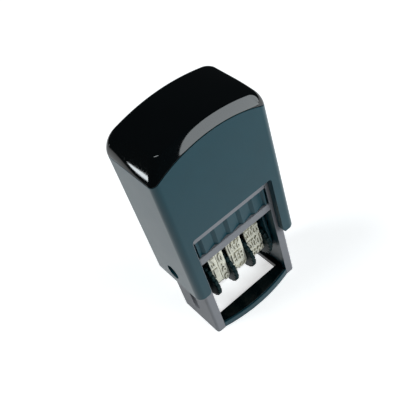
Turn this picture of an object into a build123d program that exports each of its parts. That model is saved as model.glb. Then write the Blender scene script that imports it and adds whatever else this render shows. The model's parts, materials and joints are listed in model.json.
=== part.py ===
from build123d import *
import os
from math import acos, atan2, cos, hypot, pi, sin, sqrt

# A self-inking date stamp, in millimetres. It stands on z = 0, its front faces -Y and its left
# side -X. The base frame stands still. The outer shell with its cap is pushed down over it, and
# turns the type unit by half a turn on the way, from the ink pad above it to the paper below.

# Outer shell and cap
body_width = 42.0
body_depth = 24.6
body_corner = 2.5
shell_wall = 1.8
seam_end_z = 76.9
seam_mid_z = 82.4
cap_end_height = 5.4
cap_mid_height = 3.3
cap_edge_radius = 2.4
skirt_wall = 1.2
skirt_depth = 3.2
cutout_corner = 1.2
arm_tip_radius = 2.2
shell_foot_radius = 0.8
rib_width = 1.2
side_rib_spacing = 15.0

# Base frame
frame_wall = 2.8
frame_corner = 1.0
post_reach = 0.5
post_depth = 2.0
lower_bar_height = 3.0
upper_bar_height = 4.0
deck_thickness = 2.0
rail_height = 1.0
rail_reach = 1.1

# Foot plate round the print opening
foot_thickness = 2.6
foot_bow = 1.9
foot_rim_thickness = 0.8
foot_side_bar = 1.1
foot_front_bar = 4.4
foot_back_bar = 3.5

# Type unit: pivot, type face and setting axle
pivot_z = 30.0
face_reach = 9.7
plate_thickness = 1.0
plate_pivot_radius = 4.8
plate_axle_radius = 6.2
plate_top_width = 9.0
axle_drop = 13.75
axle_radius = 1.5
bridge_depth = 5.2
bridge_height = 3.3
bridge_corner = 1.2
bridge_shoulder = 1.3
tie_width = 3.4
tie_height = 2.4
tie_above_wheels = 1.45
collar_wall = 1.3
collar_length = 1.9

# Pivot pins, snapped into the shell
pivot_radius = 1.5
pivot_head_radius = 2.4
pivot_head_thickness = 0.9
pivot_recess = 0.9
pivot_boss_radius = 4.2
pivot_notch_width = 0.5
pivot_notch_depth = 0.4

# Flip studs on the type unit and their curved grooves in the frame
stud_offset = 5.5
stud_radius = 1.0
stud_length = 1.8
groove_depth = 1.3
plate_above_stud = 1.3
slot_below_pivot = 2.0

# Date bands and thumbwheels
band_thickness = 0.7
type_height = 0.6
type_length = 3.7
type_sink = 0.45
type_count = 12
wheel_radius = 7.35
wheel_thickness = 1.4
wheel_notches = 22
wheel_notch_radius = 0.5
drum_radius = 3.4
day_band_width = 2.9
month_band_width = 6.2

# Ink pad and its cassette
cassette_shoulder = 0.4
cassette_grip_depth = 1.0
cassette_height = 7.3
grip_rib_pitch = 5.2
grip_rib_depth = 0.8
grip_rib_lead = 1.2
tray_side_wall = 1.95
tray_end_wall = 2.85
pad_thickness = 3.0
pad_recess = 1.45

# Return spring
spring_radius = 3.9
spring_wire = 0.9
spring_coils = 8
spring_post_height = 4.5
spring_boss_radius = 5.2
spring_boss_height = 1.5
spring_peg_height = 5.0

# Clearances
slide_gap = 0.15
pin_gap = 0.06
groove_gap = 0.15
band_gap = 0.1
wheel_gap = 0.2
fit_gap = 0.05
pad_gap = 0.15
cassette_gap = 0.1
window_gap = 0.2
grip_recess = 0.2
side_play = 1.05
face_play = 0.85
top_play = 1.0
foot_play = 0.95
cutout_play = 1.2
cutout_above_deck = 0.85
spring_play = 0.45

# Travel of the shell: it ends where the type face meets the paper
travel = pivot_z - face_reach
shell_bottom_z = foot_thickness + foot_play + travel
pad_face_z = pivot_z + face_reach + pad_gap
cassette_bottom_z = pad_face_z - pad_recess
lower_bar_top_z = cassette_bottom_z - cassette_gap
upper_bar_bottom_z = cassette_bottom_z + cassette_height + cassette_gap
deck_top_z = upper_bar_bottom_z + upper_bar_height
deck_bottom_z = deck_top_z - deck_thickness

# Outlines of the shell: outside, inside and the arch of the seam
inner_width = body_width - 2 * shell_wall
inner_depth = body_depth - 2 * shell_wall
inner_corner = body_corner - shell_wall
cutout_top_z = deck_top_z + cutout_above_deck
seam_rise = seam_mid_z - seam_end_z
seam_radius = ((body_width / 2) ** 2 + seam_rise**2) / (2 * seam_rise)
seam_centre_z = seam_mid_z - seam_radius
cap_top_z = seam_mid_z + cap_mid_height
crown_rise = cap_top_z - seam_end_z - cap_end_height
crown_radius = ((body_width / 2) ** 2 + crown_rise**2) / (2 * crown_rise)
crown_centre_z = cap_top_z - crown_radius
skirt_bottom_z = seam_end_z - skirt_depth

# Outlines of the frame inside the shell, and of what fits between its posts
frame_width = inner_width - 2 * side_play
frame_depth = inner_depth - 2 * face_play
frame_top_z = skirt_bottom_z - travel - top_play
frame_inner_width = frame_width - 2 * frame_wall
window_width = frame_inner_width - 2 * post_reach
post_width = frame_wall + post_reach
cutout_width = window_width + 2 * cutout_play
opening_width = window_width - 2 * foot_side_bar
opening_depth = frame_depth - foot_front_bar - foot_back_bar
opening_y = (foot_front_bar - foot_back_bar) / 2
plate_width = window_width - 2 * window_gap
cassette_width = window_width - 2 * window_gap
cassette_grip_width = cassette_width - 2 * cassette_shoulder
grip_rib_count = int(cassette_grip_width / grip_rib_pitch)
cassette_length = frame_depth - 2 * (grip_recess + cassette_grip_depth)
pad_width = cassette_width - 2 * (tray_side_wall + slide_gap)
pad_length = cassette_length - 2 * (tray_end_wall + slide_gap)
axle_z = pivot_z - axle_drop
tie_z = axle_z + wheel_radius + tie_above_wheels + tie_height / 2
spring_post_radius = spring_radius - spring_wire / 2 - spring_play

with BuildPart() as housing_shell:
    with BuildSketch(Plane.XY.offset(shell_bottom_z)):
        RectangleRounded(body_width, body_depth, body_corner)
    extrude(amount=cap_top_z - shell_bottom_z)
    lower_rim = housing_shell.faces().sort_by(Axis.Z)[0].edges()
    fillet(lower_rim, shell_foot_radius)
    with BuildSketch(Plane.XY.offset(shell_bottom_z)):
        RectangleRounded(inner_width, inner_depth, inner_corner)
    extrude(amount=cap_top_z - shell_bottom_z, mode=Mode.SUBTRACT)
    # Guide ribs that run along the frame: two on each side wall, two on the front and the back
    rib_height = skirt_bottom_z - slide_gap - shell_bottom_z - shell_foot_radius
    side_rib_depth = (inner_width - frame_width) / 2 - slide_gap
    face_rib_depth = (inner_depth - frame_depth) / 2 - slide_gap
    with BuildSketch(Plane.XY.offset(shell_bottom_z + shell_foot_radius)):
        with GridLocations(inner_width - side_rib_depth, side_rib_spacing, 2, 2):
            Rectangle(side_rib_depth, rib_width)
        with GridLocations((cutout_width + frame_width) / 2, inner_depth - face_rib_depth, 2, 2):
            Rectangle((frame_width - cutout_width) / 2, face_rib_depth)
    extrude(amount=rib_height)
    # Bosses that take the pivot pins
    boss_height = (inner_width - frame_width) / 2 - slide_gap
    with BuildSketch(Plane.YZ.offset(-inner_width / 2)):
        with Locations((0, pivot_z)):
            Circle(pivot_boss_radius)
    extrude(amount=boss_height)
    with BuildSketch(Plane.YZ.offset(inner_width / 2)):
        with Locations((0, pivot_z)):
            Circle(pivot_boss_radius)
    extrude(amount=-boss_height)
    with BuildSketch(Plane.YZ):
        with Locations((0, pivot_z)):
            Circle(pivot_radius + fit_gap)
    extrude(amount=body_width, both=True, mode=Mode.SUBTRACT)
    head_seat_x = body_width / 2 - pivot_recess - pivot_head_thickness
    with BuildSketch(Plane.YZ.offset(head_seat_x)):
        with Locations((0, pivot_z)):
            Circle(pivot_head_radius + 2 * slide_gap)
    extrude(amount=shell_wall, mode=Mode.SUBTRACT)
    with BuildSketch(Plane.YZ.offset(-head_seat_x)):
        with Locations((0, pivot_z)):
            Circle(pivot_head_radius + 2 * slide_gap)
    extrude(amount=-shell_wall, mode=Mode.SUBTRACT)
    # Cut-outs in the front and the back, which leave two arms with rounded tips on each side
    with BuildSketch(Plane.XZ):
        for side in (-1, 1):
            with Locations((side * cutout_width / 2, shell_bottom_z)):
                Rectangle(2 * arm_tip_radius, 2 * arm_tip_radius)
            with Locations(
                (side * (cutout_width / 2 + arm_tip_radius), shell_bottom_z + arm_tip_radius)
            ):
                Circle(arm_tip_radius, mode=Mode.SUBTRACT)
        with Locations((0, shell_bottom_z)):
            Rectangle(
                cutout_width,
                cutout_top_z - shell_bottom_z,
                align=(Align.CENTER, Align.MIN),
            )
        top_corners = vertices().filter_by_position(
            Axis.Y, cutout_top_z - 0.01, cutout_top_z + 0.01
        )
        fillet(top_corners, cutout_corner)
    extrude(amount=body_depth, both=True, mode=Mode.SUBTRACT)
    # The upper edge follows the arch of the cap
    with BuildSketch(Plane.XZ):
        with Locations((0, seam_end_z - seam_rise)):
            Rectangle(1.2 * body_width, 4 * seam_rise, align=(Align.CENTER, Align.MIN))
        with Locations((0, seam_centre_z)):
            Circle(seam_radius, mode=Mode.SUBTRACT)
    extrude(amount=body_depth, both=True, mode=Mode.SUBTRACT)

with BuildPart() as top_cap:
    # Skirt inside the shell
    skirt_width = inner_width - 2 * fit_gap
    skirt_length = inner_depth - 2 * fit_gap
    skirt_corner = inner_corner - fit_gap
    with BuildSketch(Plane.XY.offset(skirt_bottom_z)):
        RectangleRounded(skirt_width, skirt_length, skirt_corner)
        Rectangle(
            skirt_width - 2 * skirt_wall, skirt_length - 2 * skirt_wall, mode=Mode.SUBTRACT
        )
    extrude(amount=cap_top_z - skirt_bottom_z)
    # Boss and peg that hold the spring
    with BuildSketch(Plane.XY.offset(seam_mid_z - spring_boss_height)):
        Circle(spring_boss_radius)
    extrude(amount=spring_boss_height + cap_mid_height)
    with BuildSketch(Plane.XY.offset(seam_mid_z - spring_boss_height)):
        Circle(spring_post_radius)
    extrude(amount=-spring_peg_height)
    with BuildSketch(Plane.XZ):
        with Locations((0, seam_centre_z)):
            Circle(seam_radius + cap_mid_height / 2)
    extrude(amount=body_depth, both=True, mode=Mode.INTERSECT)
top_cap_inside = top_cap.part

with BuildPart() as top_cap:
    # Lid with the outline of the shell, between the arch of the seam and the flatter crown
    with BuildSketch(Plane.XZ):
        with Locations((0, crown_centre_z)):
            Circle(crown_radius)
        with Locations((0, seam_centre_z)):
            Circle(seam_radius, mode=Mode.SUBTRACT)
        with Locations((0, seam_end_z - seam_rise)):
            Rectangle(
                1.2 * body_width,
                4 * seam_rise,
                align=(Align.CENTER, Align.MIN),
                mode=Mode.INTERSECT,
            )
    extrude(amount=body_depth, both=True)
    with BuildSketch(Plane.XY.offset(skirt_bottom_z)):
        RectangleRounded(body_width, body_depth, body_corner)
    extrude(amount=2 * (cap_top_z - skirt_bottom_z), mode=Mode.INTERSECT)
    upper_face = top_cap.faces().sort_by(Axis.Z)[-1]
    fillet(upper_face.edges(), cap_edge_radius)
    add(top_cap_inside)

# Pins on which the type unit turns, pressed in from outside
pin_inner_x = plate_width / 2 - plate_thickness + pin_gap
with BuildPart() as pivot_pin_right:
    with BuildSketch(Plane.YZ.offset(pin_inner_x)):
        with Locations((0, pivot_z)):
            Circle(pivot_radius)
    extrude(amount=head_seat_x - pin_inner_x)
    with BuildSketch(Plane.YZ.offset(head_seat_x)):
        with Locations((0, pivot_z)):
            Circle(pivot_head_radius)
    extrude(amount=pivot_head_thickness)
    with BuildSketch(Plane.YZ.offset(head_seat_x + pivot_head_thickness)):
        with Locations((0, pivot_z)):
            Rectangle(pivot_notch_width, 1.3 * pivot_head_radius)
    extrude(amount=-pivot_notch_depth, mode=Mode.SUBTRACT)

with BuildPart() as pivot_pin_left:
    mirror(pivot_pin_right.part, about=Plane.YZ)

# Path of a flip stud in the frame, as the shell goes down and the type unit turns to the back
path_steps = 24
path_turns = [pi * i / path_steps for i in range(path_steps + 1)]
groove_half = stud_radius + groove_gap


def stud_place(turn, side):
    y = stud_offset * sin(turn)
    z = pivot_z - travel * turn / pi + stud_offset * cos(turn)
    run_y = stud_offset * cos(turn)
    run_z = -travel / pi - stud_offset * sin(turn)
    length = hypot(run_y, run_z)
    return (y - side * run_z / length, z + side * run_y / length)


with BuildPart() as frame_side_right:
    side_inner_x = frame_inner_width / 2
    with BuildSketch(Plane.XY):
        with Locations((frame_width / 2, 0)):
            Rectangle(frame_wall, frame_depth, align=(Align.MAX, Align.CENTER))
        with Locations((frame_width / 2, -frame_depth / 2)):
            Rectangle(post_width, post_depth, align=(Align.MAX, Align.MIN))
        with Locations((frame_width / 2, frame_depth / 2)):
            Rectangle(post_width, post_depth, align=(Align.MAX, Align.MAX))
    extrude(amount=frame_top_z)
    upright = frame_side_right.edges().filter_by(Axis.Z)
    fillet(upright.group_by(Axis.X)[-1], frame_corner)
    # Rail under the edge of the ink cassette
    with BuildSketch(Plane.XY.offset(lower_bar_top_z - rail_height)):
        with Locations((side_inner_x, 0)):
            Rectangle(
                rail_reach, frame_depth - 2 * post_depth, align=(Align.MAX, Align.CENTER)
            )
    extrude(amount=rail_height)
    # Upright slot for the pivot pin
    slot_half = pivot_radius + slide_gap
    slot_low_z = pivot_z - travel - slot_below_pivot
    with BuildSketch(Plane.YZ):
        with Locations((0, (pivot_z + slot_low_z) / 2)):
            SlotCenterToCenter(pivot_z - slot_low_z, 2 * slot_half, rotation=90)
    extrude(amount=frame_width, mode=Mode.SUBTRACT)
    # Curved groove that turns the type unit over
    with BuildSketch(Plane.YZ.offset(side_inner_x)):
        with BuildLine():
            near_side = Spline([stud_place(turn, groove_half) for turn in path_turns])
            far_side = Spline([stud_place(turn, -groove_half) for turn in path_turns])
            Line(near_side @ 0, far_side @ 0)
            Line(near_side @ 1, far_side @ 1)
        make_face()
        with Locations(stud_place(0, 0), stud_place(pi, 0)):
            Circle(groove_half)
    extrude(amount=groove_depth, mode=Mode.SUBTRACT)

with BuildPart() as frame_side_left:
    mirror(frame_side_right.part, about=Plane.YZ)

# Cross bars between the posts, above and below the cassette window
bar_y = (frame_depth - post_depth) / 2
with BuildPart() as frame_bar_front_lower:
    with Locations((0, -bar_y, lower_bar_top_z)):
        Box(
            window_width,
            post_depth,
            lower_bar_height,
            align=(Align.CENTER, Align.CENTER, Align.MAX),
        )

with BuildPart() as frame_bar_back_lower:
    mirror(frame_bar_front_lower.part, about=Plane.XZ)

with BuildPart() as frame_bar_front_upper:
    with Locations((0, -bar_y, upper_bar_bottom_z)):
        Box(
            window_width,
            post_depth,
            upper_bar_height,
            align=(Align.CENTER, Align.CENTER, Align.MIN),
        )

with BuildPart() as frame_bar_back_upper:
    mirror(frame_bar_front_upper.part, about=Plane.XZ)

with BuildPart() as frame_deck:
    with Locations((0, 0, deck_bottom_z)):
        Box(
            frame_inner_width,
            frame_depth - 2 * post_depth,
            deck_thickness,
            align=(Align.CENTER, Align.CENTER, Align.MIN),
        )
    with BuildSketch(Plane.XY.offset(deck_top_z)):
        Circle(spring_post_radius)
    extrude(amount=spring_post_height)

# Foot plate with the print opening, and the bowed rim in front of it
with BuildSketch() as foot_outline:
    with BuildLine():
        bow = ThreePointArc(
            (-window_width / 2, -frame_depth / 2),
            (0, -frame_depth / 2 - foot_bow),
            (window_width / 2, -frame_depth / 2),
        )
        Polyline(
            bow @ 1,
            (window_width / 2, frame_depth / 2),
            (-window_width / 2, frame_depth / 2),
            bow @ 0,
        )
    make_face()
    Rectangle(frame_inner_width, frame_depth - 2 * post_depth)

with BuildSketch() as foot_core:
    add(foot_outline.sketch)
    with Locations((0, foot_rim_thickness)):
        add(foot_outline.sketch, mode=Mode.INTERSECT)

with BuildPart() as foot_plate:
    add(foot_core.sketch)
    extrude(amount=foot_thickness)
    with BuildSketch():
        with Locations((0, opening_y)):
            Rectangle(opening_width, opening_depth)
    extrude(amount=foot_thickness, mode=Mode.SUBTRACT)

with BuildPart() as foot_rim:
    with BuildSketch():
        add(foot_outline.sketch)
        add(foot_core.sketch, mode=Mode.SUBTRACT)
        with Locations((0, -frame_depth / 2 + foot_rim_thickness)):
            Rectangle(
                window_width,
                foot_bow + foot_rim_thickness,
                align=(Align.CENTER, Align.MAX),
                mode=Mode.INTERSECT,
            )
    extrude(amount=foot_thickness)

# Type unit: two plates joined by the bridge under the type, a tie bar and the setting axle
plate_inner_x = plate_width / 2 - plate_thickness
plate_top_z = pivot_z + stud_offset + plate_above_stud
with BuildPart() as print_plate_right:
    with BuildSketch(Plane.YZ.offset(plate_inner_x)):
        with Locations((0, axle_z)):
            Circle(plate_axle_radius)
        with Locations((0, pivot_z)):
            Circle(plate_pivot_radius)
        with Locations((0, plate_top_z)):
            Rectangle(
                plate_top_width, plate_above_stud, align=(Align.CENTER, Align.MAX)
            )
        make_hull()
        with Locations((0, axle_z)):
            Circle(axle_radius + fit_gap, mode=Mode.SUBTRACT)
        with Locations((0, pivot_z)):
            Circle(pivot_radius + pin_gap, mode=Mode.SUBTRACT)
    extrude(amount=plate_thickness)
    with BuildSketch(Plane.YZ.offset(plate_width / 2)):
        with Locations((0, pivot_z + stud_offset)):
            Circle(stud_radius)
    extrude(amount=stud_length)

with BuildPart() as print_plate_left:
    mirror(print_plate_right.part, about=Plane.YZ)

bridge_top_z = pivot_z + face_reach - type_height - band_thickness - band_gap
with BuildPart() as print_bridge:
    with BuildSketch(Plane.YZ):
        with Locations((0, bridge_top_z)):
            Rectangle(bridge_depth, bridge_height, align=(Align.CENTER, Align.MAX))
        fillet(vertices().group_by(Axis.Y)[-1], bridge_corner)
    extrude(amount=plate_inner_x, both=True)
    # The ends step down, so that the foot plate's opening clears them
    with Locations(
        (plate_inner_x, 0, plate_top_z),
        (-plate_inner_x, 0, plate_top_z),
    ):
        Box(
            2 * bridge_shoulder,
            bridge_depth,
            bridge_height,
            align=(Align.CENTER, Align.CENTER, Align.MIN),
            mode=Mode.SUBTRACT,
        )

with BuildPart() as tie_bar:
    with Locations((0, 0, tie_z)):
        Box(2 * plate_inner_x, tie_width, tie_height)

with BuildPart() as setting_axle:
    with BuildSketch(Plane.YZ):
        with Locations((0, axle_z)):
            Circle(axle_radius)
    extrude(amount=plate_width / 2, both=True)

# Places along the axle, from left to right
wheel_1_left = wheel_gap + collar_length - plate_inner_x
wheel_1_right = wheel_1_left + wheel_thickness
band_1_left = wheel_1_right + wheel_gap
band_1_right = band_1_left + day_band_width
band_2_left = band_1_right + wheel_gap
band_2_right = band_2_left + day_band_width
wheel_2_left = band_2_right + wheel_gap
wheel_2_right = wheel_2_left + wheel_thickness
band_3_left = wheel_2_right + wheel_gap
band_3_right = band_3_left + month_band_width
wheel_3_left = band_3_right + wheel_gap
wheel_3_right = wheel_3_left + wheel_thickness
band_4_left = wheel_3_right + wheel_gap
wheel_4_right = plate_inner_x - wheel_gap
wheel_4_left = wheel_4_right - wheel_thickness
band_4_right = wheel_4_left - wheel_gap
drum_split = (band_1_right + band_2_left) / 2

with BuildPart() as axle_collar:
    with BuildSketch(Plane.YZ.offset(-plate_inner_x)):
        with Locations((0, axle_z)):
            Circle(axle_radius + collar_wall)
            Circle(axle_radius + fit_gap, mode=Mode.SUBTRACT)
    extrude(amount=collar_length)


def thumbwheel(disc_left, drum_left, drum_right):
    with BuildPart() as wheel:
        with BuildSketch(Plane.YZ.offset(disc_left)):
            with Locations((0, axle_z)):
                Circle(wheel_radius)
                with PolarLocations(wheel_radius, wheel_notches):
                    Circle(wheel_notch_radius, mode=Mode.SUBTRACT)
        extrude(amount=wheel_thickness)
        with BuildSketch(Plane.YZ.offset(drum_left)):
            with Locations((0, axle_z)):
                Circle(drum_radius)
        extrude(amount=drum_right - drum_left)
        with BuildSketch(Plane.YZ.offset(drum_left - wheel_thickness)):
            with Locations((0, axle_z)):
                Circle(axle_radius + pin_gap)
        extrude(amount=drum_right - drum_left + 2 * wheel_thickness, mode=Mode.SUBTRACT)
    return wheel


thumbwheel_day_tens = thumbwheel(wheel_1_left, wheel_1_left, drum_split - fit_gap)
thumbwheel_day_units = thumbwheel(wheel_2_left, drum_split + fit_gap, wheel_2_right)
thumbwheel_month = thumbwheel(wheel_3_left, wheel_2_right + fit_gap, wheel_3_right)
thumbwheel_year = thumbwheel(wheel_4_left, wheel_3_right + fit_gap, wheel_4_right)

# A band runs from the bridge round the drum. Distances along it start at the middle of the type
# face: a flat, a bend of the bridge's radius, a straight run and the bend round the drum.
bend_y = bridge_depth / 2 - bridge_corner
bend_z = bridge_top_z - bridge_corner
bend_radius = bridge_corner + band_gap + band_thickness
drum_bend_radius = drum_radius + band_gap + band_thickness
centres = hypot(bend_y, bend_z - axle_z)
lean = atan2(bend_z - axle_z, bend_y) - acos((drum_bend_radius - bend_radius) / centres)
straight_run = sqrt(centres**2 - (drum_bend_radius - bend_radius) ** 2)
bend_run = bend_radius * (pi / 2 - lean)
half_band = bend_y + bend_run + straight_run + drum_bend_radius * (pi / 2 + lean)


def band_place(distance):
    side = 1 if distance >= 0 else -1
    run = abs(distance)
    if run <= bend_y:
        y, z, turn = run, bend_z + bend_radius, pi / 2
    elif run <= bend_y + bend_run:
        turn = pi / 2 - (run - bend_y) / bend_radius
        y, z = bend_y + bend_radius * cos(turn), bend_z + bend_radius * sin(turn)
    elif run <= bend_y + bend_run + straight_run:
        turn = lean
        along = run - bend_y - bend_run
        y = bend_y + bend_radius * cos(turn) + along * sin(turn)
        z = bend_z + bend_radius * sin(turn) - along * cos(turn)
    else:
        turn = lean - (run - bend_y - bend_run - straight_run) / drum_bend_radius
        y, z = drum_bend_radius * cos(turn), axle_z + drum_bend_radius * sin(turn)
    return side * y, z, side * cos(turn), sin(turn)


def date_band(left, width):
    middle = left + width / 2
    with BuildPart() as band:
        with BuildSketch(Plane.YZ.offset(middle)):
            with Locations((0, axle_z)):
                Circle(drum_bend_radius)
            with Locations((bend_y, bend_z), (-bend_y, bend_z)):
                Circle(bend_radius)
            make_hull()
        extrude(amount=width / 2, both=True)
        with BuildSketch(Plane.YZ.offset(middle)):
            with Locations((0, axle_z)):
                Circle(drum_bend_radius - band_thickness)
            with Locations((bend_y, bend_z), (-bend_y, bend_z)):
                Circle(bend_radius - band_thickness)
            make_hull()
        extrude(amount=width / 2, both=True, mode=Mode.SUBTRACT)
        # Raised type, one block for each place of the date
        for count in range(type_count):
            y, z, out_y, out_z = band_place((count - type_count / 2 + 1) * 2 * half_band / type_count)
            with Locations(Plane(origin=(middle, y, z), x_dir=(1, 0, 0), z_dir=(0, out_y, out_z))):
                with Locations((0, 0, -type_sink)):
                    Box(
                        width - 2 * fit_gap,
                        type_length,
                        type_height + type_sink,
                        align=(Align.CENTER, Align.CENTER, Align.MIN),
                    )
    return band


band_day_tens = date_band(band_1_left, day_band_width)
band_day_units = date_band(band_2_left, day_band_width)
band_month = date_band(band_3_left, month_band_width)
band_year = date_band(band_4_left, band_4_right - band_4_left)

# Ink cassette: a tray with the pad in its underside and a ribbed grip at each end
with BuildPart() as pad_cassette:
    with Locations((0, 0, cassette_bottom_z)):
        Box(
            cassette_width,
            cassette_length,
            cassette_height,
            align=(Align.CENTER, Align.CENTER, Align.MIN),
        )
    with BuildSketch(Plane.XY.offset(cassette_bottom_z)):
        with BuildLine():
            grip_back = -cassette_length / 2
            grip_front = grip_back - cassette_grip_depth
            first_rib = -grip_rib_count * grip_rib_pitch / 2
            teeth = [(-cassette_grip_width / 2, grip_back), (-cassette_grip_width / 2, grip_front)]
            for rib in range(grip_rib_count):
                start = first_rib + rib * grip_rib_pitch
                teeth += [(start, grip_front + grip_rib_depth), (start + grip_rib_lead, grip_front)]
            last = first_rib + grip_rib_count * grip_rib_pitch
            teeth += [(last, grip_front + grip_rib_depth), (last + grip_rib_lead / 2, grip_front)]
            teeth += [(cassette_grip_width / 2, grip_front)]
            teeth += [(cassette_grip_width / 2, grip_back)]
            Polyline(teeth, close=True)
        make_face()
        mirror(about=Plane.XZ)
    extrude(amount=cassette_height)
    # Pocket for the pad, and the way below it that is open to the back, so that the cassette
    # slides out to the front over the type face
    with Locations((0, 0, pad_face_z)):
        Box(
            pad_width + 2 * slide_gap,
            pad_length + 2 * slide_gap,
            pad_thickness,
            align=(Align.CENTER, Align.CENTER, Align.MIN),
            mode=Mode.SUBTRACT,
        )
    with Locations((0, -pad_length / 2 - slide_gap, pad_face_z)):
        Box(
            pad_width + 2 * slide_gap,
            cassette_length,
            pad_face_z - cassette_bottom_z,
            align=(Align.CENTER, Align.MIN, Align.MAX),
            mode=Mode.SUBTRACT,
        )

with BuildPart() as ink_pad:
    with Locations((0, 0, pad_face_z)):
        Box(
            pad_width,
            pad_length,
            pad_thickness,
            align=(Align.CENTER, Align.CENTER, Align.MIN),
        )

# Return spring between the deck and the cap
spring_bottom_z = deck_top_z
spring_top_z = seam_mid_z - spring_boss_height
spring_rise = spring_top_z - spring_bottom_z - spring_wire
spring_pitch = spring_rise / spring_coils
with BuildPart() as return_spring:
    with BuildLine(Plane.XY.offset(spring_bottom_z + spring_wire / 2)):
        coil = Helix(spring_pitch, spring_rise, spring_radius)
    with BuildSketch(Plane(origin=coil @ 0, z_dir=coil % 0)):
        Circle(spring_wire / 2)
    sweep(path=coil, is_frenet=True)

print("spring pitch", round(spring_pitch, 3), "gap", round(spring_pitch - spring_wire, 3))
print("travel", travel, "band length", round(2 * half_band, 2))

pieces = {
    "frame_side_left": frame_side_left,
    "frame_side_right": frame_side_right,
    "frame_bar_front_lower": frame_bar_front_lower,
    "frame_bar_front_upper": frame_bar_front_upper,
    "frame_bar_back_lower": frame_bar_back_lower,
    "frame_bar_back_upper": frame_bar_back_upper,
    "frame_deck": frame_deck,
    "foot_plate": foot_plate,
    "foot_rim": foot_rim,
    "return_spring": return_spring,
    "housing_shell": housing_shell,
    "top_cap": top_cap,
    "pivot_pin_left": pivot_pin_left,
    "pivot_pin_right": pivot_pin_right,
    "print_plate_left": print_plate_left,
    "print_plate_right": print_plate_right,
    "print_bridge": print_bridge,
    "tie_bar": tie_bar,
    "setting_axle": setting_axle,
    "axle_collar": axle_collar,
    "band_day_tens": band_day_tens,
    "band_day_units": band_day_units,
    "band_month": band_month,
    "band_year": band_year,
    "thumbwheel_day_tens": thumbwheel_day_tens,
    "thumbwheel_day_units": thumbwheel_day_units,
    "thumbwheel_month": thumbwheel_month,
    "thumbwheel_year": thumbwheel_year,
    "pad_cassette": pad_cassette,
    "ink_pad": ink_pad,
}
os.makedirs("parts", exist_ok=True)
for name, piece in pieces.items():
    piece.part.label = name
    export_step(piece.part, f"parts/{name}.step")
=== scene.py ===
import json

import bmesh
import bpy
import numpy as np
from mathutils import Matrix, Vector

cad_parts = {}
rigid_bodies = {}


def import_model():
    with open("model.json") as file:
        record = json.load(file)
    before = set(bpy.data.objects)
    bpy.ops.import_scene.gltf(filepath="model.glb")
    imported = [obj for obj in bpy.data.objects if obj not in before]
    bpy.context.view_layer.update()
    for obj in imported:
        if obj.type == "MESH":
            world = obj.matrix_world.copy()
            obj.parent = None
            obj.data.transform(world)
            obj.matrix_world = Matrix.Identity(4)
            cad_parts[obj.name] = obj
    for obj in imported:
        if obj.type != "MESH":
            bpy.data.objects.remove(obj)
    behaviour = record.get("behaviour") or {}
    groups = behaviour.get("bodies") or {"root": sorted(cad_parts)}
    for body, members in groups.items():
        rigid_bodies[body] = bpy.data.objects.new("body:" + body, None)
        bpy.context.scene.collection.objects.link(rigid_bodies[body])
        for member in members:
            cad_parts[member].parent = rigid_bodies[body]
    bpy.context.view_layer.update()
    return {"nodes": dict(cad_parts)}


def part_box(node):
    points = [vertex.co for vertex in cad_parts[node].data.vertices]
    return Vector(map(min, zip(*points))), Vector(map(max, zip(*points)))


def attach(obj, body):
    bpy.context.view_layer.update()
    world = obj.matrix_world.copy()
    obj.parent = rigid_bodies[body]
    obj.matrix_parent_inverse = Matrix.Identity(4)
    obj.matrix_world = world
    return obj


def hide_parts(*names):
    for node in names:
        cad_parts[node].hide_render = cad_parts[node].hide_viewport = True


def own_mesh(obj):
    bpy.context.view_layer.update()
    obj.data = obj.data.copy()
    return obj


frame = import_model()
nodes = frame["nodes"]
mm = 0.001
everything = bpy.context.scene.collection.objects


# The camera stands to the left of the stamp and well above it, and is turned about its own
# line of sight, so that the stamp leans to the left in the picture as it does in the photograph.
camera_azimuth = np.radians(-24.85)
camera_elevation = np.radians(45.39)
camera_roll = np.radians(-19.88)
camera_distance = 244.96 * mm
camera_target = Vector((3.85, 15.37, 32.26)) * mm
camera_lens = 63.90

level = np.cos(camera_elevation)
backward = Vector((
    np.sin(camera_azimuth) * level,
    -np.cos(camera_azimuth) * level,
    np.sin(camera_elevation),
))
level_right = (-backward).cross(Vector((0, 0, 1))).normalized()
level_up = level_right.cross(-backward)
rolled_right = level_right * np.cos(camera_roll) + level_up * np.sin(camera_roll)
rolled_up = level_up * np.cos(camera_roll) - level_right * np.sin(camera_roll)
camera_data = bpy.data.cameras.new("camera")
camera_data.sensor_width = 36
camera_data.lens = camera_lens
camera_data.clip_start = 0.01
camera = bpy.data.objects.new("camera", camera_data)
everything.link(camera)
camera.matrix_world = Matrix.Translation(camera_target + backward * camera_distance) @ Matrix((
    rolled_right, rolled_up, backward
)).transposed().to_4x4()
bpy.context.scene.camera = camera


# A wide white floor, which keeps a soft shadow under the stamp. To the camera and in reflections
# it glows a little beyond the light that falls on it, so that it comes out as plain white paper.
floor_half = 1.5
floor_colour = (0.86, 0.86, 0.86, 1)
floor_glow = 0.62


def new_material(name):
    """An empty node material, as (material, its nodes, a function that links two sockets)."""
    material = bpy.data.materials.new(name)
    material.use_nodes = True
    tree = material.node_tree
    tree.nodes.clear()
    return material, tree.nodes, lambda out, into: tree.links.new(out, into)


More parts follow.
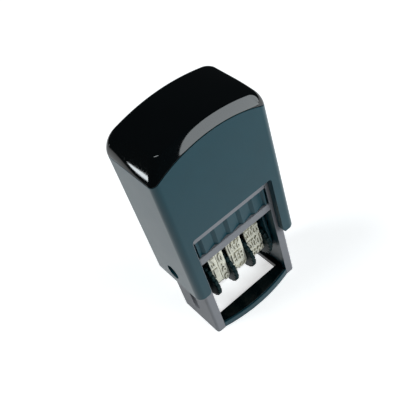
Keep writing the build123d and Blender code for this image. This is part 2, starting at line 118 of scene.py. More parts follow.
floor_material, made, link = new_material("paper_white")
diffuse = made.new("ShaderNodeBsdfDiffuse")
diffuse.inputs["Color"].default_value = floor_colour
glow = made.new("ShaderNodeEmission")
path = made.new("ShaderNodeLightPath")
camera_or_glossy = made.new("ShaderNodeMath")
camera_or_glossy.operation = "MAXIMUM"
seen = made.new("ShaderNodeMath")
seen.operation = "MAXIMUM"
faint = made.new("ShaderNodeMath")
faint.operation = "MULTIPLY"
faint.inputs[1].default_value = floor_glow
both = made.new("ShaderNodeAddShader")
out = made.new("ShaderNodeOutputMaterial")
link(path.outputs["Is Camera Ray"], camera_or_glossy.inputs[0])
link(path.outputs["Is Glossy Ray"], camera_or_glossy.inputs[1])
link(camera_or_glossy.outputs[0], seen.inputs[0])
link(path.outputs["Is Transmission Ray"], seen.inputs[1])
link(seen.outputs[0], faint.inputs[0])
link(faint.outputs[0], glow.inputs["Strength"])
link(diffuse.outputs[0], both.inputs[0])
link(glow.outputs[0], both.inputs[1])
link(both.outputs[0], out.inputs["Surface"])
floor_mesh = bpy.data.meshes.new("floor")
floor_mesh.from_pydata(
    [(-floor_half, -floor_half, 0), (floor_half, -floor_half, 0),
     (floor_half, floor_half, 0), (-floor_half, floor_half, 0)], [], [(0, 1, 2, 3)]
)
floor_mesh.materials.append(floor_material)
floor = bpy.data.objects.new("floor", floor_mesh)
everything.link(floor)


# Soft studio light: a tall panel that stands on the floor in front on the right and fills the
# front edge of the cap, one high up behind on the left that lights the paper, and a small lamp on
# the left that puts a streak on the cap's end. The rest is dark, so that the cap stays black.
surround = 0.03
surround_colour = (0.92, 0.97, 1.0, 1)
lamp_colour = (0.90, 0.97, 1.0)
world = bpy.data.worlds.new("studio")
bpy.context.scene.world = world
world.use_nodes = True
world.node_tree.nodes["Background"].inputs["Color"].default_value = surround_colour
world.node_tree.nodes["Background"].inputs["Strength"].default_value = surround


def light_panel(name, place, aim, size, power):
    """An oval lamp at place, facing aim, size = (width, height) in metres."""
    data = bpy.data.lights.new(name, "AREA")
    data.shape = "ELLIPSE"
    data.size, data.size_y = size
    data.energy = power
    data.color = lamp_colour
    lamp = bpy.data.objects.new(name, data)
    everything.link(lamp)
    lamp.location = place
    lamp.rotation_euler = (Vector(aim) - Vector(place)).to_track_quat("-Z", "Y").to_euler()


light_panel("front_panel", place=(0.36, -0.53, 0.29), aim=(0, 0, 0.12), size=(0.74, 0.56), power=4.7)
light_panel("high_panel", place=(-0.45, 0.22, 0.85), aim=(0, 0, 0.02), size=(0.44, 0.44), power=4.5)
light_panel(
    "left_lamp", place=(-0.66, 0.62, 0.108), aim=(0, 0, 0.08), size=(0.045, 0.028), power=0.038
)


# The base frame, moulded in warm grey plastic: two side walls with a post at each corner, and
# cross bars above and below the window. The edges are broken by a small radius from the mould,
# and the inward faces of the side walls have the shell's slate colour.
frame_grey = (0.215, 0.215, 0.230)
slate_colour = (0.003, 0.041, 0.057)
frame_edge = 0.25 * mm
film_ior = 1.24
weld_distance = 1e-3 * mm
flat_angle = np.radians(0.5)
edge_angle = np.radians(35)
broad_face_weight = 80
least_inward = 0.7

grain = bpy.data.node_groups.new("moulded_grain", "ShaderNodeTree")
sockets = [
    ("Colour", "INPUT", "NodeSocketColor"), ("Shine", "INPUT", "NodeSocketFloat"),
    ("Cloud", "INPUT", "NodeSocketFloat"), ("Grain size", "INPUT", "NodeSocketFloat"),
    ("Grain depth", "INPUT", "NodeSocketFloat"), ("Colour", "OUTPUT", "NodeSocketColor"),
    ("Roughness", "OUTPUT", "NodeSocketFloat"), ("Normal", "OUTPUT", "NodeSocketVector"),
]
for socket_name, direction, kind in sockets:
    grain.interface.new_socket(socket_name, in_out=direction, socket_type=kind)
made = grain.nodes
given = made.new("NodeGroupInput")
result = made.new("NodeGroupOutput")
place = made.new("ShaderNodeTexCoord")
cloud = made.new("ShaderNodeTexNoise")
cloud.inputs["Scale"].default_value = 110
cloud.inputs["Detail"].default_value = 4
speck = made.new("ShaderNodeTexNoise")
speck.inputs["Detail"].default_value = 3
speck.inputs["Roughness"].default_value = 0.6
spread = made.new("ShaderNodeMapRange")
spread.inputs["From Min"].default_value = 0.3
spread.inputs["From Max"].default_value = 0.7
spread.inputs["To Min"].default_value = -1
spread.inputs["To Max"].default_value = 1
swing = made.new("ShaderNodeMath")
swing.operation = "MULTIPLY_ADD"
swing.inputs[2].default_value = 1
tone = made.new("ShaderNodeVectorMath")
tone.operation = "SCALE"
rough = made.new("ShaderNodeMath")
rough.operation = "MULTIPLY"
rough.use_clamp = True
bump = made.new("ShaderNodeBump")
bump.inputs["Distance"].default_value = 0.05 * mm
for out, into in [
    (place.outputs["Object"], cloud.inputs["Vector"]),
    (place.outputs["Object"], speck.inputs["Vector"]),
    (given.outputs["Grain size"], speck.inputs["Scale"]),
    (cloud.outputs["Fac"], spread.inputs["Value"]),
    (spread.outputs["Result"], swing.inputs[0]),
    (given.outputs["Cloud"], swing.inputs[1]),
    (given.outputs["Colour"], tone.inputs[0]),
    (swing.outputs[0], tone.inputs["Scale"]),
    (given.outputs["Shine"], rough.inputs[0]),
    (swing.outputs[0], rough.inputs[1]),
    (speck.outputs["Fac"], bump.inputs["Height"]),
    (given.outputs["Grain depth"], bump.inputs["Strength"]),
    (tone.outputs[0], result.inputs["Colour"]),
    (rough.outputs[0], result.inputs["Roughness"]),
    (bump.outputs[0], result.inputs["Normal"]),
]:
    grain.links.new(out, into)


def moulded(name, colour, shine, cloud=0.05, grain_size=2500, grain_depth=0.15, gloss=0.5, film=0):
    """A moulded plastic: cloudy by a few percent in colour and shine, with a fine grain.

    The gloss is the level of its own reflection, and the film is the weight of a thin clear skin
    that shines at a low angle. Grain size is in grains per metre.
    """
    material, made, link = new_material(name)
    grained = made.new("ShaderNodeGroup")
    grained.node_tree = grain
    grained.inputs["Colour"].default_value = (*colour, 1)
    grained.inputs["Shine"].default_value = shine
    grained.inputs["Cloud"].default_value = cloud
    grained.inputs["Grain size"].default_value = grain_size
    grained.inputs["Grain depth"].default_value = grain_depth
    shader = made.new("ShaderNodeBsdfPrincipled")
    shader.inputs["Specular IOR Level"].default_value = gloss
    shader.inputs["Coat Weight"].default_value = film
    shader.inputs["Coat Roughness"].default_value = shine
    shader.inputs["Coat IOR"].default_value = film_ior
    out = made.new("ShaderNodeOutputMaterial")
    link(grained.outputs["Colour"], shader.inputs["Base Color"])
    link(grained.outputs["Roughness"], shader.inputs["Roughness"])
    link(grained.outputs["Normal"], shader.inputs["Normal"])
    link(shader.outputs[0], out.inputs["Surface"])
    return material


def add_piece(name, mesh, material, body, slot, *replaced):
    """Puts a mesh into the scene as a piece that rides on a body and stands for CAD nodes."""
    mesh.materials.clear()
    mesh.materials.append(material)
    piece = bpy.data.objects.new(name, mesh)
    everything.link(piece)
    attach(piece, body)
    if replaced:
        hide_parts(*replaced)
    return piece


def softened(node, material, body, slot, edge, segments=3):
    """A copy of a CAD node with its triangles joined to whole faces and its edges rounded.

    The shading leans on the broad faces, so that they look flat right up to the round edges.
    """
    shape = bmesh.new()
    shape.from_mesh(nodes[node].data)
    bmesh.ops.remove_doubles(shape, verts=shape.verts, dist=weld_distance)
    bmesh.ops.dissolve_limit(
        shape, angle_limit=flat_angle, verts=shape.verts, edges=shape.edges
    )
    mesh = bpy.data.meshes.new(node + "_soft")
    shape.to_mesh(mesh)
    shape.free()
    mesh.shade_smooth()
    piece = add_piece(node + "_soft", mesh, material, body, slot, node)
    rounding = piece.modifiers.new("rounding", "BEVEL")
    rounding.width = edge
    rounding.segments = segments
    rounding.limit_method = "ANGLE"
    rounding.angle_limit = edge_angle
    rounding.harden_normals = True
    shading = piece.modifiers.new("even_shading", "WEIGHTED_NORMAL")
    shading.mode = "FACE_AREA"
    shading.weight = broad_face_weight
    return piece


warm_grey = moulded(
    "warm_grey_plastic", frame_grey, shine=0.5, grain_size=2600, grain_depth=0.16, gloss=0.12
)
for node in (
    "frame_bar_front_lower", "frame_bar_front_upper", "frame_bar_back_lower", "frame_bar_back_upper",
):
    softened(node, warm_grey, "base_frame", "frame_plastic", frame_edge)

slate = moulded(
    "slate_plastic", slate_colour, shine=0.38, grain_size=2600, grain_depth=0.16, gloss=0.12,
    film=0.8,
)
for node, inwards in (("frame_side_left", 1), ("frame_side_right", -1)):
    side = softened(node, warm_grey, "base_frame", "frame_plastic", frame_edge)
    side.data.materials.append(slate)
    facing = np.empty(3 * len(side.data.polygons))
    side.data.polygons.foreach_get("normal", facing)
    lined = (facing.reshape(-1, 3)[:, 0] * inwards > least_inward).astype(np.int32)
    side.data.polygons.foreach_set("material_index", lined)


# The foot: a gloss black plate round the print opening with a bowed slate rim clipped to its
# front. Both lie flat on the paper. The deck across the top of the frame carries the spring.
foot_black = moulded(
    "foot_black", (0.001, 0.005, 0.006), shine=0.20, grain_depth=0.03, gloss=0.18
)
softened("foot_plate", foot_black, "base_frame", "black_gloss", edge=0.25 * mm)
softened("foot_rim", slate, "base_frame", "shell_plastic", edge=0.2 * mm)
softened("frame_deck", slate, "base_frame", "shell_plastic", edge=0.2 * mm)


# The setting axle of the type unit, on which the thumbwheels turn: a pin of bright drawn steel,
# pressed into both side plates.
steel, made, link = new_material("drawn_steel")
place = made.new("ShaderNodeTexCoord")
streak = made.new("ShaderNodeTexNoise")
streak.inputs["Scale"].default_value = 900
streak.inputs["Detail"].default_value = 3
shine = made.new("ShaderNodeMapRange")
shine.inputs["To Min"].default_value = 0.18
shine.inputs["To Max"].default_value = 0.38
shade = made.new("ShaderNodeMix")
shade.data_type = "RGBA"
shade.inputs["A"].default_value = (0.42, 0.43, 0.44, 1)
shade.inputs["B"].default_value = (0.60, 0.61, 0.62, 1)
shader = made.new("ShaderNodeBsdfPrincipled")
shader.inputs["Metallic"].default_value = 1
out = made.new("ShaderNodeOutputMaterial")
link(place.outputs["Object"], streak.inputs["Vector"])
link(streak.outputs["Fac"], shine.inputs["Value"])
link(streak.outputs["Fac"], shade.inputs["Factor"])
link(shine.outputs["Result"], shader.inputs["Roughness"])
link(shade.outputs["Result"], shader.inputs["Base Color"])
link(shader.outputs[0], out.inputs["Surface"])


def finished_in(material, *shown_as_made):
    """Gives one material to CAD nodes that are shown as they are."""
    for node in shown_as_made:
        nodes[node].data.materials.clear()
        nodes[node].data.materials.append(material)


finished_in(steel, "setting_axle")


# The outer shell, moulded in dark slate plastic, with a cut-out on both faces. It slides over
# the frame on its guide ribs and is open below.
softened("housing_shell", slate, "shell", "shell_plastic", edge=0.45 * mm)


# The cap, moulded in polished black plastic: an arched lid with the outline of the shell, whose
# edge slopes down to the seam all round, a skirt that snaps into the shell, and the spring's peg.
lid_low, lid_high = (np.array(corner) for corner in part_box("top_cap"))
lid_half = (lid_high - lid_low) / 2
lid_corner = 2.5 * mm
arc_share = 0.4
lid_columns, slope_rings = 384, 28
seam_end_z = 76.9 * mm
seam_mid_z = 82.4 * mm
crown_end_z = 82.3 * mm
crown_mid_z = lid_high[2]
left_edge, right_edge = 4.85 * mm, 1.8 * mm
front_edge, back_edge = 1.75 * mm, 2.2 * mm
front_power, left_power, back_power = 1.1, 1.04, 2.0
front_left_extra = 1.3 * mm
front_sink = 1.4 * mm
crest_corner = 2.6 * mm
groove_across, groove_up = 0.3 * mm, 0.4 * mm
crease_angle = np.radians(40)
cap_black = moulded(
    "gloss_black", (0.001, 0.002, 0.0025), shine=0.05, cloud=0.10, grain_depth=0.02
)


def arch(x, end_z, mid_z):
    """The height at x of the circle through both ends at end_z and the middle at mid_z."""
    rise = mid_z - end_z
    radius = (lid_half[0] ** 2 + rise**2) / (2 * rise)
    return mid_z - radius + np.sqrt(radius**2 - x**2)


def round_oblong(way, half_x, half_y, corner):
    """Points round a rectangle with round corners, for way from 0 to 4, one for each corner.

    Each quarter begins with the corner's arc, which takes up its share of the way, and the rest
    is the straight side up to the start of the next corner's arc.
    """
    quarter = np.floor(way)
    turned = np.clip((way - quarter) / arc_share, 0, 1)
    along = np.clip((way - quarter - arc_share) / (1 - arc_share), 0, 1)

    def arc(count, turn):
        angle = (count + turn) * np.pi / 2
        middle = (count + 0.5) * np.pi / 2
        x = np.sign(np.cos(middle)) * (half_x - corner) + corner * np.cos(angle)
        y = np.sign(np.sin(middle)) * (half_y - corner) + corner * np.sin(angle)
        return x, y

    x, y = arc(quarter, turned)
    next_x, next_y = arc(quarter + 1, 0)
    return x + along * (next_x - x), y + along * (next_y - y)


def capped(name, grid, low_pole, high_pole):
    """A closed mesh from rings of points, shape (rings, points, 3), from low to high pole.

    Each ring is joined to the next by quads, and the end rings to their poles by triangles.
    """
    rows, columns = grid.shape[:2]
    row, column = np.meshgrid(np.arange(rows - 1), np.arange(columns), indexing="ij")
    after = (column + 1) % columns
    sides = np.stack([
        row * columns + column, row * columns + after,
        (row + 1) * columns + after, (row + 1) * columns + column,
    ], axis=-1).reshape(-1, 4)
    around = np.arange(columns)
    ahead = (around + 1) % columns
    last = (rows - 1) * columns
    foot = np.stack([np.full(columns, rows * columns), ahead, around], axis=-1)
    head = np.stack([np.full(columns, rows * columns + 1), last + around, last + ahead], axis=-1)
    mesh = bpy.data.meshes.new(name)
    mesh.from_pydata(
        np.concatenate([grid.reshape(-1, 3), [low_pole, high_pole]]), [],
        sides.tolist() + foot.tolist() + head.tolist(),
    )
    mesh.shade_smooth()
    return mesh


def crown_height(x, y):
    """The height of the crown: the arch, which sinks a little towards the front right corner."""
    rightward = np.clip(x / lid_half[0], 0, 1)
    return (
        arch(x, crown_end_z, crown_mid_z)
        - front_sink * rightward**2 * np.clip(-y / lid_half[1], 0, 1) ** 2
    )


# The lid: rings at the underside, then up the edge and over the crown. Between the outline and
# the crest, a point's share of the way out and its drop below the crown lie on a superellipse.
# Its power is near 1, a straight slope, at the front and the left end, and 2, which is round, at
# the right end and towards the back. The rings under the lid and on the crown stand at fixed
# shares of the way out. A fine groove runs along the seam.
way = np.linspace(0, 4, lid_columns, endpoint=False)
under = np.array([0.02, 0.3, 0.6, 0.85, 1])[:, None]
slope = np.linspace(0, np.pi / 2, slope_rings)[:, None]
crown = np.array([0.93, 0.8, 0.6, 0.4, 0.2, 0.05])[:, None]
out_x, out_y = round_oblong(way, lid_half[0], lid_half[1], lid_corner)
at_end = np.clip((np.abs(out_x) - lid_half[0] + lid_corner) / lid_corner, 0, 1)
at_back = (0.5 + 0.5 * out_y / lid_half[1]) ** 4
end_power = np.where(out_x < 0, left_power + (back_power - left_power) * at_back, back_power)
edge_power = (front_power + (back_power - front_power) * at_back) * (1 - at_end) + end_power * at_end
out_share = np.cos(slope) ** (2 / edge_power)
drop = 1 - np.sin(slope) ** (2 / edge_power)
crest_x, crest_y = round_oblong(
    way, lid_half[0] - (left_edge + right_edge) / 2, lid_half[1] - (front_edge + back_edge) / 2,
    crest_corner,
)
crest_x = crest_x + (left_edge - right_edge) / 2
leftward = np.clip(-crest_x / lid_half[0], 0, 1)
frontward = (0.5 - 0.5 * crest_y / lid_half[1]) ** 2
crest_y = crest_y + (front_edge - back_edge) / 2 + front_left_extra * leftward * frontward
edge_x = crest_x + (out_x - crest_x) * out_share
edge_y = crest_y + (out_y - crest_y) * out_share
height = crown_height(out_x, out_y) - arch(out_x, seam_end_z, seam_mid_z) - groove_up
edge_z = crown_height(edge_x, edge_y) - height * drop
inner_x, inner_y = round_oblong(
    way, lid_half[0] - groove_across, lid_half[1] - groove_across, lid_corner - groove_across
)
under_x, under_y = inner_x * under, inner_y * under
under_z = arch(under_x, seam_end_z, seam_mid_z)
crown_x, crown_y = edge_x[-1] * crown, edge_y[-1] * crown
crown_z = crown_height(crown_x, crown_y)
rings = np.stack([
    np.concatenate([under_x, edge_x, crown_x]), np.concatenate([under_y, edge_y, crown_y]),
    np.concatenate([under_z, edge_z, crown_z]),
], axis=-1)
lid = capped("cap_lid", rings, (0, 0, seam_mid_z), (0, 0, crown_mid_z))
add_piece("cap_lid", lid, cap_black, "shell", "black_gloss", "top_cap")

# The skirt: its section goes up the outside, over into the lid and down the inside.
skirt_half = np.array([19.15, 10.45]) * mm
skirt_wall = 1.2 * mm
skirt_corner = 0.65 * mm
skirt_overlap = 0.3 * mm
inside = np.array([0, 0, 1, 1])[:, None]
at_top = np.array([0, 1, 1, 0])[:, None]
wall_x, wall_y = round_oblong(
    way, skirt_half[0] - inside * skirt_wall, skirt_half[1] - inside * skirt_wall, skirt_corner
)
wall_z = np.where(at_top, arch(wall_x, seam_end_z, seam_mid_z) + skirt_overlap, lid_low[2])


def joined_up(rows, columns):
    """The quads between the points of a grid whose last row and column meet the first."""
    row, column = np.meshgrid(np.arange(rows), np.arange(columns), indexing="ij")
    next_row, next_column = (row + 1) % rows, (column + 1) % columns
    return np.stack([
        row * columns + column, next_row * columns + column,
        next_row * columns + next_column, row * columns + next_column,
    ], axis=-1).reshape(-1, 4)


def skin(name, grid):
    """A closed mesh from a grid of points, shape (rows, columns, 3), joined up both ways."""
    mesh = bpy.data.meshes.new(name)
    mesh.from_pydata(grid.reshape(-1, 3), [], joined_up(*grid.shape[:2]))
    mesh.shade_smooth()
    return mesh


skirt = skin("cap_skirt", np.stack([wall_x, wall_y, wall_z], axis=-1)[::-1])
skirt.set_sharp_from_angle(angle=crease_angle)
add_piece("cap_skirt", skirt, cap_black, "shell", "black_gloss")

# The peg and its boss: the radius and height of each ring, from the peg's tip up into the lid.
peg_rings = np.array([
    (2.4, 76.0), (2.9, 76.2), (3.0, 76.6), (3.0, 80.95), (5.0, 80.95), (5.2, 81.15), (5.2, 83.0),
]) * mm
peg_sides = 48
spin = np.linspace(0, 2 * np.pi, peg_sides, endpoint=False)
peg_grid = np.stack([
    peg_rings[:, :1] * np.cos(spin), peg_rings[:, :1] * np.sin(spin),
    np.broadcast_to(peg_rings[:, 1:], (len(peg_rings), len(spin))),
], axis=-1)
peg = capped("cap_peg", peg_grid, (0, 0, peg_rings[0, 1]), (0, 0, peg_rings[-1, 1]))
peg.set_sharp_from_angle(angle=crease_angle)
add_piece("cap_peg", peg, cap_black, "shell", "black_gloss")


# The return spring, coiled from bright steel wire, stands on the deck round its stud and pushes
# the cap up. It rises by one wire in its first and last turn and evenly between them, and it is a
# new piece with a mesh of its own.
spring_low, spring_high = (np.array(corner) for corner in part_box("return_spring"))
spring_turns = 8
wire_radius = 0.45 * mm
wire_sides = 12
steps_per_turn = 48
spring_length = spring_high[2] - spring_low[2]
coil_radius = (spring_high[0] - spring_low[0]) / 2 - wire_radius
closed_rise = 2 * wire_radius
open_rise = spring_length - 2 * wire_radius - 2 * closed_rise
turns = np.linspace(0, spring_turns, steps_per_turn * spring_turns + 1)
around = 2 * np.pi * turns
rise = np.interp(
    turns, [0, 1, spring_turns - 1, spring_turns],
    [0, closed_rise, closed_rise + open_rise, 2 * closed_rise + open_rise],
)
outward = np.stack([np.cos(around), np.sin(around), 0 * around], axis=-1)
coil_line = coil_radius * outward
coil_line[:, 2] = spring_low[2] + wire_radius + rise
ahead = np.gradient(coil_line, axis=0)
ahead /= np.linalg.norm(ahead, axis=1, keepdims=True)
upward = np.cross(ahead, outward)
round_wire = np.linspace(0, 2 * np.pi, wire_sides, endpoint=False)[None, :, None]
coil = coil_line[:, None] + wire_radius * (
    np.cos(round_wire) * outward[:, None] + np.sin(round_wire) * upward[:, None]
)
spring = add_piece(
    "spring_coil", capped("spring_coil", coil, coil_line[0], coil_line[-1]), steel,
    "base_frame", "steel", "return_spring",
)
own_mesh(spring)


# The type unit: two side plates with a bridge and a tie bar between them, moulded in slate
# plastic. It hangs on two near-black pins pressed into the shell's sides.
unit_dark = moulded(
    "unit_plastic", (0.010, 0.020, 0.022), shine=0.35, cloud=0.06, grain_depth=0.12
)
for node in ("print_plate_left", "print_plate_right", "tie_bar", "print_bridge"):
    softened(node, slate, "type_unit", "unit_plastic", edge=0.15 * mm, segments=2)
finished_in(unit_dark, "pivot_pin_left", "pivot_pin_right", "axle_collar")


# Four thumbwheels on the setting axle, one at the side of each band: thin discs of near-black
# plastic with a toothed rim, each in one piece with the drum that drives its band.
wheel_teeth = 22
tooth_depth = 0.5 * mm
rim_round = 0.35 * mm
bore_radius = 1.56 * mm
drum_radius = 3.4 * mm
disc_thickness = 1.4 * mm
tooth_foot, tooth_fade = 0.85, 0.08
points_per_tooth = 12
largest_turn = 0.45
wheel_dark = moulded(
    "wheel_plastic", (0.003, 0.016, 0.018), shine=0.45, cloud=0.10, grain_depth=0.10, gloss=0.1
)
axle_low, axle_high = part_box("setting_axle")
axle_z = (axle_low[2] + axle_high[2]) / 2


def rounded(corners, radius, steps=4):
    """A closed outline through 2-D corners, each turned by a quadratic curve of that size.

    Between its two ends on the sides, the curve is (1-t)^2 start + 2t(1-t) corner + t^2 end. It
    takes up no more than a fixed share of either side.
    """
    corner = np.array(corners)
    before = np.roll(corner, 1, axis=0) - corner
    after = np.roll(corner, -1, axis=0) - corner
    before_length = np.linalg.norm(before, axis=1, keepdims=True)
    after_length = np.linalg.norm(after, axis=1, keepdims=True)
    start = corner + before / before_length * np.minimum(radius, largest_turn * before_length)
    end = corner + after / after_length * np.minimum(radius, largest_turn * after_length)
    t = np.linspace(0, 1, steps)[None, :, None]
    turn = (1 - t) ** 2 * start[:, None] + 2 * t * (1 - t) * corner[:, None] + t**2 * end[:, None]
    return turn.reshape(-1, 2)


def thumbwheel(node, disc_on_left):
    """A disc and its drum as one outline (x, radius) carried round the axle.

    Each rim point is drawn in by a row of round notches: the depth is the height of a circle
    over the rim, and falls off towards the hub so that only the outer ring is toothed.
    """
    low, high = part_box(node)
    left, right = low[0], high[0]
    rim = (high[2] - low[2]) / 2
    outline = [(left, bore_radius), (right, bore_radius)]
    if disc_on_left:
        step = left + disc_thickness
        outline += [(right, drum_radius), (step, drum_radius), (step, rim), (left, rim)]
    else:
        step = right - disc_thickness
        outline += [(right, rim), (step, rim), (step, drum_radius), (left, drum_radius)]
    profile = rounded(outline, rim_round)
    angle = np.linspace(0, 2 * np.pi, wheel_teeth * points_per_tooth, endpoint=False)
    from_notch = (angle * wheel_teeth / (2 * np.pi) + 0.5) % 1 - 0.5
    along_rim = from_notch * 2 * np.pi * rim / wheel_teeth
    notch = np.sqrt(np.clip(tooth_depth**2 - along_rim**2, 0, None))
    toothed = np.clip((profile[:, 1] - tooth_foot * rim) / (tooth_fade * rim), 0, 1)
    radius = profile[None, :, 1] - notch[:, None] * toothed[None, :]
    grid = np.stack([
        np.broadcast_to(profile[None, :, 0], radius.shape),
        radius * np.cos(angle)[:, None],
        axle_z + radius * np.sin(angle)[:, None],
    ], axis=-1)
    return skin(node + "_turned", grid[::-1])


for which in ("day_tens", "day_units", "month", "year"):
    node = "thumbwheel_" + which
    mesh = thumbwheel(node, disc_on_left=which == "day_tens")
    add_piece(node + "_turned", mesh, wheel_dark, "wheel_" + which, "wheel_plastic", node)


# Four date bands of cream rubber, endless loops from the bridge round the drums, with raised
# type that is mirrored so that it prints the right way round. Old ink stains the type, and
# painted shade darkens it further towards the letters' roots.
band_thickness = 0.7 * mm
type_height = 0.6 * mm
type_length = 4.3 * mm
type_places = 12
type_margin = 0.4 * mm
letter_width = 1.6 * mm
type_root = 0.1 * mm
type_boldness = 0.02
bend_corner = 1.2 * mm
running_gap = 0.1 * mm
section_round = 0.12 * mm
band_steps = 200
# By this share the letter's face keeps less ink and less painted shade than its root.
face_wear_and_root_shade = 0.7
cream = (0.73, 0.70, 0.59)
# The dark of old ink, which also serves as painted shade at the letters' roots.
ink_and_root_shade_colour = (0.085, 0.075, 0.045)
bridge_low, bridge_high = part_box("print_bridge")
bend_radius = bend_corner + running_gap + band_thickness
drum_bend = drum_radius + running_gap + band_thickness
bend_y = (bridge_high[1] - bridge_low[1]) / 2 - bend_corner
bend_z = bridge_high[2] - bend_corner
centres = np.hypot(bend_y, bend_z - axle_z)
lean = np.arctan2(bend_z - axle_z, bend_y) - np.arccos((drum_bend - bend_radius) / centres)
straight = np.sqrt(centres**2 - (drum_bend - bend_radius) ** 2)
bend_run = bend_radius * (np.pi / 2 - lean)
half_band = bend_y + bend_run + straight + drum_bend * (np.pi / 2 + lean)


def on_band(distance, height):
    """The points (y, z) at a distance along the loop from the top and a height over its face.

    The loop is a flat on the bridge, an arc down each side, a straight run and the arc round
    the drum, each worked out for all points and chosen by how far along the point lies.
    """
    side, run = np.sign(distance), np.abs(distance)
    past_flat = run - bend_y
    past_bend = past_flat - bend_run
    past_straight = past_bend - straight
    stretch = [past_flat <= 0, past_bend <= 0, past_straight <= 0]
    turn = np.select(
        stretch, [np.pi / 2, np.pi / 2 - past_flat / bend_radius, lean],
        lean - past_straight / drum_bend,
    )
    out_y, out_z = np.cos(turn), np.sin(turn)
    y = np.select(stretch, [
        run, bend_y + bend_radius * out_y, bend_y + bend_radius * out_y + past_bend * out_z,
    ], drum_bend * out_y)
    z = np.select(stretch, [
        bend_z + bend_radius, bend_z + bend_radius * out_z,
        bend_z + bend_radius * out_z - past_bend * out_y,
    ], axle_z + drum_bend * out_z)
    return side * (y + height * out_y), z + height * out_z


def type_face(word):
    """The points and triangles of a word in raised letters, 1 wide, 1 high and 1 deep."""
    text = bpy.data.curves.new("word", "FONT")
    text.body = word
    text.extrude = 0.5
    text.offset = type_boldness
    text.resolution_u = 3
    holder = bpy.data.objects.new("word", text)
    mesh = bpy.data.meshes.new_from_object(holder)
    mesh.calc_loop_triangles()
    points = np.empty(3 * len(mesh.vertices))
    mesh.vertices.foreach_get("co", points)
    triangles = np.empty(3 * len(mesh.loop_triangles), dtype=int)
    mesh.loop_triangles.foreach_get("vertices", triangles)
    bpy.data.objects.remove(holder)
    points = points.reshape(-1, 3)
    low, high = points.min(axis=0), points.max(axis=0)
    return (points - low) / (high - low), triangles.reshape(-1, 3)


rubber, made, link = new_material("cream_rubber")
place = made.new("ShaderNodeTexCoord")
raised = made.new("ShaderNodeAttribute")
raised.attribute_name = "raised"
patch = made.new("ShaderNodeTexNoise")
patch.inputs["Scale"].default_value = 700
patch.inputs["Detail"].default_value = 4
# Patchy ink times the letters' mask: ink stain plus painted shade towards their roots.
ink_and_shade_mask = made.new("ShaderNodeMath")
ink_and_shade_mask.operation = "MULTIPLY"
strength = made.new("ShaderNodeMapRange")
strength.inputs["From Min"].default_value = 0.30
strength.inputs["From Max"].default_value = 0.70
shade = made.new("ShaderNodeMix")
shade.data_type = "RGBA"
shade.inputs["A"].default_value = (*cream, 1)
shade.inputs["B"].default_value = (*ink_and_root_shade_colour, 1)
fine = made.new("ShaderNodeTexNoise")
fine.inputs["Scale"].default_value = 3500
bump = made.new("ShaderNodeBump")
bump.inputs["Strength"].default_value = 0.2
bump.inputs["Distance"].default_value = 0.04 * mm
shader = made.new("ShaderNodeBsdfPrincipled")
shader.inputs["Roughness"].default_value = 0.55
out = made.new("ShaderNodeOutputMaterial")
link(place.outputs["Object"], patch.inputs["Vector"])
link(place.outputs["Object"], fine.inputs["Vector"])
link(patch.outputs["Fac"], strength.inputs["Value"])
link(strength.outputs["Result"], ink_and_shade_mask.inputs[0])
link(raised.outputs["Fac"], ink_and_shade_mask.inputs[1])
link(ink_and_shade_mask.outputs[0], shade.inputs["Factor"])
link(shade.outputs["Result"], shader.inputs["Base Color"])
link(fine.outputs["Fac"], bump.inputs["Height"])
link(bump.outputs["Normal"], shader.inputs["Normal"])
link(shader.outputs[0], out.inputs["Surface"])


def date_band(node, words):
    """A band with its words: a rounded strip section carried round the loop, and raised type.

    A letter's width lies across the band, its height against the way along the band, and its
    depth out of the band's face, which mirrors it as type has to be. The type carries ink stain
    and painted shade, both full at the letter's root; less of both lies on its face, where the
    ink is partly worn off.
    """
    low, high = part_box(node)
    middle, width = (low[0] + high[0]) / 2, high[0] - low[0]
    section = rounded([
        (-width / 2, -band_thickness), (width / 2, -band_thickness),
        (width / 2, 0), (-width / 2, 0),
    ], section_round, 3)
    along = np.linspace(-half_band, half_band, band_steps, endpoint=False)
    y, z = on_band(along[:, None], section[None, :, 1])
    x = np.broadcast_to(middle + section[None, :, 0], y.shape)
    points = [np.stack([x, y, z], axis=-1).reshape(-1, 3)]
    faces = joined_up(*x.shape).tolist()
    count = x.size
    ink_and_root_shade = [np.zeros(count)]
    for number, word in enumerate(words):
        if not word:
            continue
        letters, triangles = type_face(word)
        across = (letters[:, 0] - 0.5) * min(width - type_margin, len(word) * letter_width)
        centre = (number - type_places / 2 + 1) * 2 * half_band / type_places
        distance = centre - (letters[:, 1] - 0.5) * type_length
        distance = (distance + half_band) % (2 * half_band) - half_band
        lift = letters[:, 2] * (type_height + type_root) - type_root
        letter_y, letter_z = on_band(distance, lift)
        points.append(np.stack([middle + across, letter_y, letter_z], axis=-1))
        faces += (triangles[:, ::-1] + count).tolist()
        # Ink and painted shade: full at the letter's root, less on its face.
        ink_and_root_shade.append(1 - face_wear_and_root_shade * letters[:, 2])
        count += len(letters)
    mesh = bpy.data.meshes.new(node + "_rubber")
    mesh.from_pydata(np.concatenate(points), [], faces)
    attribute = mesh.attributes.new("raised", "FLOAT", "POINT")
    attribute.data.foreach_set("value", np.concatenate(ink_and_root_shade).astype(np.float32))
    mesh.shade_smooth()
    mesh.set_sharp_from_angle(angle=crease_angle)
    return mesh


first_year = 2000
band_words = {
    "day_tens": ["", "1", "2", "3"] * 3,
    "day_units": ["8", "9", "0", "1", "2", "3", "4", "5", "6", "7", "", "."],
    "month": [
        "JAN", "FEB", "MAR", "APR", "MAY", "JUN", "JUL", "AUG", "SEP", "OCT", "NOV", "DEC",
    ],
    "year": [str(first_year + number) for number in range(type_places)],
}
for which, words in band_words.items():
    node = "band_" + which
    add_piece(node + "_rubber", date_band(node, words), rubber, "type_unit", "band_rubber", node)


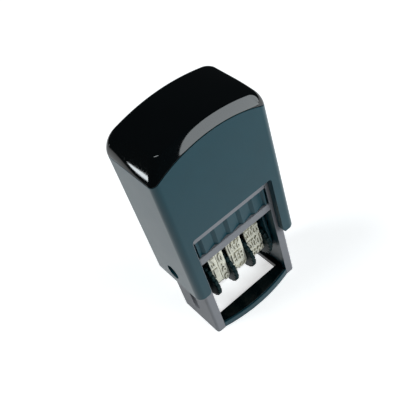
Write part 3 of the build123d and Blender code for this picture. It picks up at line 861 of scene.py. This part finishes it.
# The ink cassette in slate plastic, with a ribbed grip on each end, and its felt pad, soaked in
# black ink and glued into the underside.
softened("pad_cassette", slate, "cassette", "shell_plastic", edge=0.12 * mm, segments=2)
pad_low, pad_high = (np.array(corner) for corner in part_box("ink_pad"))
pad_power, pad_crown = 0.16, 0.06
pad_columns, pad_rows = 96, 41
felt, made, link = new_material("inked_felt")
place = made.new("ShaderNodeTexCoord")
fibre = made.new("ShaderNodeTexNoise")
fibre.inputs["Scale"].default_value = 2200
fibre.inputs["Detail"].default_value = 6
fibre.inputs["Distortion"].default_value = 1.5
wet = made.new("ShaderNodeMapRange")
wet.inputs["To Min"].default_value = 0.55
wet.inputs["To Max"].default_value = 0.95
shade = made.new("ShaderNodeMix")
shade.data_type = "RGBA"
shade.inputs["A"].default_value = (0.004, 0.004, 0.008, 1)
shade.inputs["B"].default_value = (0.022, 0.022, 0.032, 1)
bump = made.new("ShaderNodeBump")
bump.inputs["Distance"].default_value = 0.12 * mm
shader = made.new("ShaderNodeBsdfPrincipled")
out = made.new("ShaderNodeOutputMaterial")
link(place.outputs["Object"], fibre.inputs["Vector"])
link(fibre.outputs["Fac"], wet.inputs["Value"])
link(fibre.outputs["Fac"], shade.inputs["Factor"])
link(fibre.outputs["Fac"], bump.inputs["Height"])
link(wet.outputs["Result"], shader.inputs["Roughness"])
link(shade.outputs["Result"], shader.inputs["Base Color"])
link(bump.outputs["Normal"], shader.inputs["Normal"])
link(shader.outputs[0], out.inputs["Surface"])


def pad_mesh(name, low, high):
    """A pad: a box whose faces bulge a little, and whose lower face hangs in the middle.

    Its points are the superellipsoid's: along each axis, the sphere's sines and cosines raised
    to a small power, with their signs kept.
    """
    def signed_power(value):
        return np.sign(value) * np.abs(value) ** pad_power

    turn = np.linspace(0, 2 * np.pi, pad_columns, endpoint=False)[None, :]
    rise = np.linspace(-np.pi / 2, np.pi / 2, pad_rows)[1:-1, None]
    x = signed_power(np.cos(rise)) * signed_power(np.cos(turn))
    y = signed_power(np.cos(rise)) * signed_power(np.sin(turn))
    z = np.broadcast_to(signed_power(np.sin(rise)), x.shape)
    z = np.where(z < 0, z * (1 - pad_crown * (x**2 + y**2) / 2), z)
    centre, half = (low + high) / 2, (high - low) / 2
    grid = centre + np.stack([x, y, z], axis=-1) * half
    return capped(name, grid, centre - half * (0, 0, 1), centre + half * (0, 0, 1))


pad = add_piece(
    "felt_pad", pad_mesh("felt_pad", pad_low, pad_high), felt, "cassette", "pad_felt", "ink_pad"
)

# The look of the picture.
bpy.context.scene.view_settings.view_transform = "Standard"
